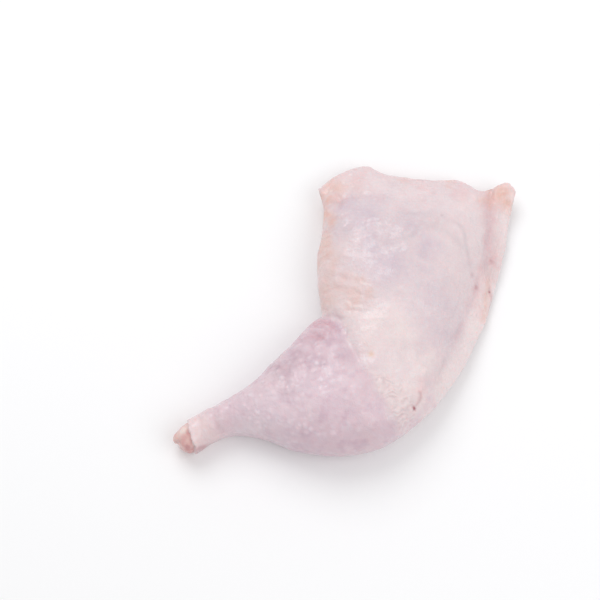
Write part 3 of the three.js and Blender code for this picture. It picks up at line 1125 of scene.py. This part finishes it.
# %% Colour the meat
meat_material, m, shader = new_material("thigh_meat")
tissue = use_group(m, blotches, 1.0)
meat_colour = m.mix(tissue["Middle"], srgb(206, 132, 130), srgb(219, 154, 146))
meat_colour = m.mix(m.math("MULTIPLY", m.mask("fibre"), 0.45), meat_colour, srgb(190, 104, 108))
MEAT_STAINS = [
    ((232, 206, 196), "membrane", 0.55, tissue["Broad"]),
    ((240, 226, 214), "seam", 0.6, tissue["Middle"]),
]
m.plug(stained(m, meat_colour, MEAT_STAINS), shader.inputs["Base Color"])
grain = use_group(m, moist_grain, 1.0)["Grain"]
moist(m, shader, scatter=0.3, coat=0.6, rough=0.4, bump_height=grain, bump_depth=0.3)
meat.data.materials.append(meat_material)
print("meat:", len(meat_material.node_tree.nodes), "nodes")

# %% Colour the joint and the fat
joint_material, m, shader = new_material("joint_cartilage")
tissue = use_group(m, blotches, 0.5)
joint_colour = m.mix(tissue["Middle"], srgb(228, 196, 190), srgb(217, 170, 168))
JOINT_STAINS = [
    ((200, 150, 150), "groove", 0.45, tissue["Broad"]),
    ((236, 226, 220), "tendon", 0.7),
    ((206, 150, 150), "rim", 0.7, tissue["Middle"]),
    ((176, 84, 98), "blood", 0.8, tissue["Middle"]),
]
m.plug(stained(m, joint_colour, JOINT_STAINS), shader.inputs["Base Color"])
moist(m, shader, scatter=0.35, coat=0.6, rough=0.34, bump_height=tissue["Fine"], bump_depth=0.15)
hock.data.materials.append(joint_material)

fat_material, m, shader = new_material("soft_fat")
tissue = use_group(m, blotches, 0.6)
m.plug(m.mix(tissue["Middle"], srgb(240, 222, 190), srgb(233, 204, 176)), shader.inputs["Base Color"])
moist(m, shader, scatter=0.4, coat=0.5, rough=0.38, bump_height=tissue["Fine"], bump_depth=0.2)
fat_piece.data.materials.append(fat_material)
print("finished:", joint_material.name, fat_material.name)

# %% [markdown]
# ## One body
#
# The leg is one piece of meat with nothing that turns, so all four pieces ride on the frame's only body.
# The skin stands in for the plain solid, which is hidden from then on. The other pieces only fill its
# recesses.

# %% Tie the pieces to the frame
for piece, slot in ((leg, "skin"), (meat, "meat"), (hock, "joint_end"), (fat_piece, "meat")):
    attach(piece, "root")
    print(piece.name, "has the slot", slot)
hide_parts("chicken_leg")

# %% [markdown]
# ## A pale studio
#
# Moist skin shows its form through soft highlights, so the lamps are large discs, one from behind on the
# left and a weaker one from the front on the right. A white sky fills in the shadows, and the floor is
# nearly white. The camera looks down steeply with a long lens, as in the photograph.

# %% Lay the floor
FLOOR = 3.0  # metres from the middle to each side
FLOOR_COLOUR = (0.93, 0.93, 0.94, 1)
FLOOR_ROUGHNESS = 0.7
floor_mesh = bpy.data.meshes.new("floor")
corners = [(-FLOOR, -FLOOR, 0), (FLOOR, -FLOOR, 0), (FLOOR, FLOOR, 0), (-FLOOR, FLOOR, 0)]
floor_mesh.from_pydata(corners, [], [(0, 1, 2, 3)])
floor = add_object("floor", floor_mesh)
floor_material, _, floor_shader = new_material("pale_floor")
floor_shader.inputs["Base Color"].default_value = FLOOR_COLOUR
floor_shader.inputs["Roughness"].default_value = FLOOR_ROUGHNESS
floor.data.materials.append(floor_material)
print("floor:", 2 * FLOOR, "m wide")

# %% Hang the lamps
LAMPS = [
    # name, place, width and power
    ("key", (-0.3, 0.6, 0.9), 0.8, 4.6),
    ("fill", (0.7, -0.3, 0.9), 1.0, 3.4),
]
SKY_STRENGTH = 0.66

for name, place, width, watts in LAMPS:
    light = bpy.data.lights.new(name, "AREA")
    light.shape = "DISK"
    light.size = width
    light.energy = watts
    lamp = add_object(name, light)
    lamp.location = place
    lamp.rotation_euler = (-Vector(place)).to_track_quat("-Z", "Y").to_euler()
    print(name, "lamp:", watts, "W")

world = bpy.data.worlds.new("studio")
world.use_nodes = True
world.node_tree.nodes["Background"].inputs["Color"].default_value = (1, 1, 1, 1)
world.node_tree.nodes["Background"].inputs["Strength"].default_value = SKY_STRENGTH
bpy.context.scene.world = world
bpy.context.scene.view_settings.view_transform = "Standard"

# %% Set the camera
ELEVATION = math.radians(72)
DISTANCE = 0.730
TARGET = Vector((-0.0256, -0.0069, 0.044))
LENS = 86.7

camera_data = bpy.data.cameras.new("camera")
camera_data.lens = LENS
camera = add_object("camera", camera_data)
camera.location = TARGET + Vector((0, -DISTANCE * math.cos(ELEVATION), DISTANCE * math.sin(ELEVATION)))
camera.rotation_euler = (TARGET - camera.location).to_track_quat("-Z", "Y").to_euler()
bpy.context.scene.camera = camera
print("camera:", [round(c, 3) for c in camera.location])

# %% [markdown]
# ## The size
#
# The dressed leg has to stay as large as the frame's solid.
